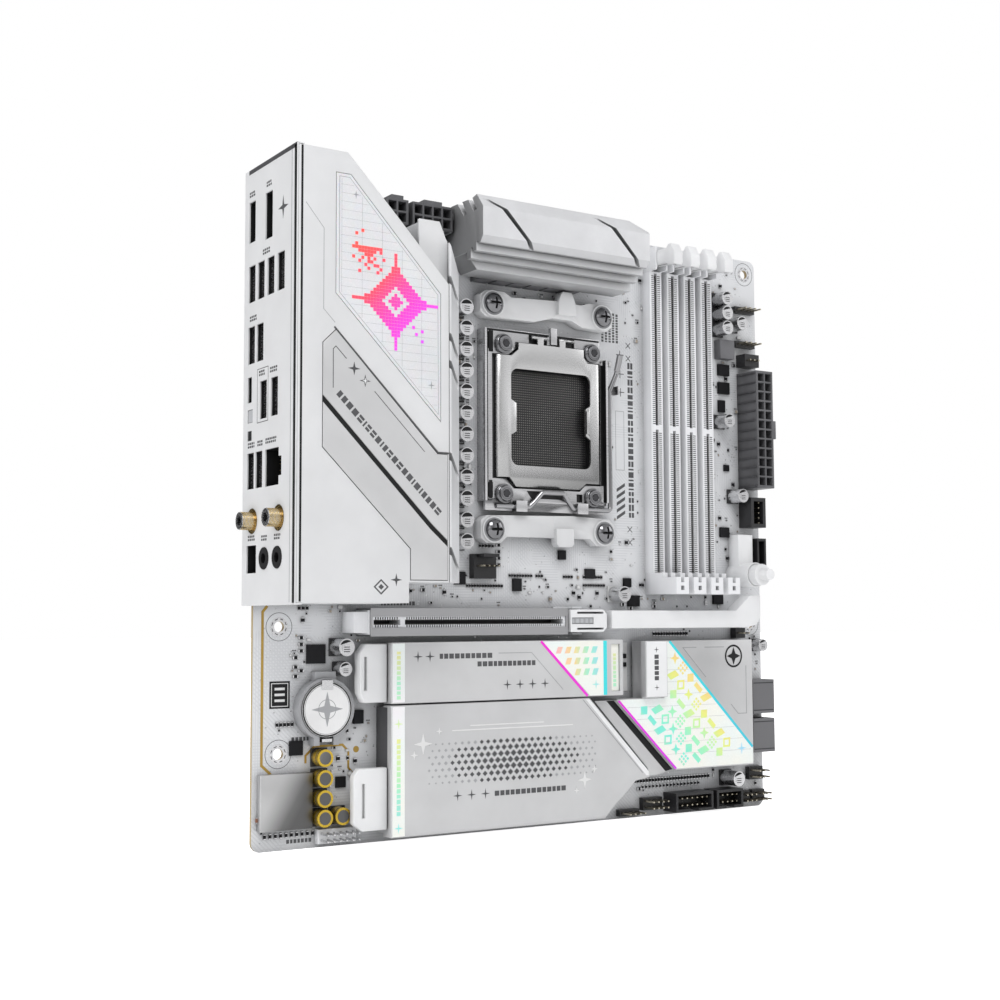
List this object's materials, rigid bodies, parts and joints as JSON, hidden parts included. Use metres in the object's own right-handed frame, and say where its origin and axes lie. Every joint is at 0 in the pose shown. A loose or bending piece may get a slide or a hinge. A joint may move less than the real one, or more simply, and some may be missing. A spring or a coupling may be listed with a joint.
{
  "type": "computer mainboard",
  "caption": "Compact square computer mainboard with processor socket, memory and expansion slots, finned heatsinks, drive covers and a shrouded rear connector panel.",
  "frame": {"origin": "centre of the rear middle standoff hole, on the back face of the circuit board", "axes": "board stands upright: -Y out of the component face, +Z towards the memory latch edge at the top, -X out through the rear connector panel"},
  "size_m": [0.2519, 0.0453, 0.2463],
  "materials": {
    "board_mask": null,
    "white_metal": "white powder-coated sheet and extrusion",
    "silver_metal": "bead-blasted silver anodised face",
    "white_plastic": "fine-textured white moulding",
    "grey_plastic": "light grey moulding",
    "dark_plastic": "black connector moulding",
    "shield_metal": "white coated thin steel",
    "window_acrylic": "milky translucent light window",
    "lamp_board": "white circuit board with lamps",
    "steel": "stamped stainless steel",
    "contact_field": "black carrier with fine gold contact springs",
    "screw_steel": "bright plated steel",
    "gold_can": "gold-coloured sleeve",
    "silver_can": "drawn aluminium can",
    "chip_black": "black moulded package",
    "choke_grey": "pressed ferrite block",
    "pad_grey": "soft heat-transfer pad",
    "cell_steel": "nickel-plated cell case",
    "brass_part": "gold-plated brass",
    "black_trim": "gloss black inlay"
  },
  "bodies": {
    "board": {"pcb": "board_mask", "io_shield": "shield_metal", "rear_port_housings": "dark_plastic", "rear_antenna_jacks": "brass_part", "io_cover": "white_plastic", "light_window": "window_acrylic", "light_board": "lamp_board", "accent_plate": "silver_metal", "accent_strip": "black_trim", "vrm_heatsink_left": "white_metal", "vrm_heatsink_top": "white_metal", "surface_chips": "chip_black", "thermal_pads": "pad_grey", "power_chokes": "choke_grey", "vrm_capacitors": "silver_can", "socket_housing": "grey_plastic", "socket_contact_field": "contact_field", "socket_frame": "steel", "socket_screws": "screw_steel", "cooler_bracket_top": "white_plastic", "cooler_bracket_bottom": "white_plastic", "cooler_screws": "screw_steel", "cooler_backplate": "steel", "pcie_slot": "grey_plastic", "pcie_shroud": "steel", "release_housing": "white_plastic", "m2_heatsink_upper": "silver_metal", "m2_heatsink_lower": "silver_metal", "m2_sockets": "dark_plastic", "m2_standoffs": "brass_part", "m2_thermal_pads": "pad_grey", "chipset_heatsink": "silver_metal", "heatsink_screws": "screw_steel", "battery_holder": "dark_plastic", "coin_cell": "cell_steel", "audio_shield": "silver_metal", "audio_capacitors": "gold_can", "can_capacitors": "silver_can", "power_connector_main": "dark_plastic", "power_connector_cpu": "dark_plastic", "sata_ports": "dark_plastic", "board_headers": "dark_plastic", "fan_headers": "dark_plastic", "memory_slot_1": "grey_plastic", "memory_slot_2": "grey_plastic", "memory_slot_3": "grey_plastic", "memory_slot_4": "grey_plastic"},
    "load_lever": {"load_lever": "screw_steel"},
    "load_plate": {"load_plate": "steel"},
    "memory_latch_1": {"memory_latch_1": "white_plastic"},
    "memory_latch_2": {"memory_latch_2": "white_plastic"},
    "memory_latch_3": {"memory_latch_3": "white_plastic"},
    "memory_latch_4": {"memory_latch_4": "white_plastic"},
    "release_button": {"release_button": "white_plastic"},
    "release_bar": {"release_bar": "white_plastic"},
    "pcie_latch": {"pcie_latch": "white_plastic"},
    "m2_clip_upper": {"m2_clip_upper": "white_plastic"},
    "m2_clip_lower": {"m2_clip_lower": "white_plastic"},
    "rear_button_flash": {"rear_button_flash": "grey_plastic"},
    "rear_button_clear": {"rear_button_clear": "dark_plastic"}
  },
  "joints": [
    {"name": "load_lever_pivot", "type": "hinge", "parent": "board", "child": "load_lever", "pos_m": [0.11564, -0.00787, 0.04699], "axis": [1, 0, 0], "range_deg": [0, 125]},
    {"name": "load_plate_hinge", "type": "hinge", "parent": "board", "child": "load_plate", "pos_m": [0.11564, -0.00767, 0.11579], "axis": [-1, 0, 0], "range_deg": [0, 100]},
    {"name": "memory_latch_1_hinge", "type": "hinge", "parent": "board", "child": "memory_latch_1", "pos_m": [0.17204, -0.00577, 0.15619], "axis": [-1, 0, 0], "range_deg": [0, 32]},
    {"name": "memory_latch_2_hinge", "type": "hinge", "parent": "board", "child": "memory_latch_2", "pos_m": [0.18144, -0.00577, 0.15619], "axis": [-1, 0, 0], "range_deg": [0, 32]},
    {"name": "memory_latch_3_hinge", "type": "hinge", "parent": "board", "child": "memory_latch_3", "pos_m": [0.19084, -0.00577, 0.15619], "axis": [-1, 0, 0], "range_deg": [0, 32]},
    {"name": "memory_latch_4_hinge", "type": "hinge", "parent": "board", "child": "memory_latch_4", "pos_m": [0.20024, -0.00577, 0.15619], "axis": [-1, 0, 0], "range_deg": [0, 32]},
    {"name": "release_press", "type": "slide", "parent": "board", "child": "release_button", "axis": [0, 1, 0], "range_m": [0, 0.004]},
    {"name": "release_link", "type": "slide", "parent": "board", "child": "release_bar", "axis": [1, 0, 0], "range_m": [0, 0.0025]},
    {"name": "pcie_latch_tilt", "type": "hinge", "parent": "board", "child": "pcie_latch", "pos_m": [0.12984, -0.00417, 0.00169], "axis": [0, 0, 1], "range_deg": [0, 12]},
    {"name": "m2_clip_upper_slide", "type": "slide", "parent": "board", "child": "m2_clip_upper", "axis": [-1, 0, 0], "range_m": [0, 0.0012]},
    {"name": "m2_clip_lower_slide", "type": "slide", "parent": "board", "child": "m2_clip_lower", "axis": [-1, 0, 0], "range_m": [0, 0.0012]},
    {"name": "flash_button_press", "type": "slide", "parent": "board", "child": "rear_button_flash", "axis": [1, 0, 0], "range_m": [0, 0.0006]},
    {"name": "clear_button_press", "type": "slide", "parent": "board", "child": "rear_button_clear", "axis": [1, 0, 0], "range_m": [0, 0.0006]}
  ],
  "couplings": [
    {"joint": "pcie_latch_tilt", "follows": "release_press", "rad_per_m": 52.3},
    {"joint": "release_link", "follows": "release_press", "ratio": 0.62}
  ]
}
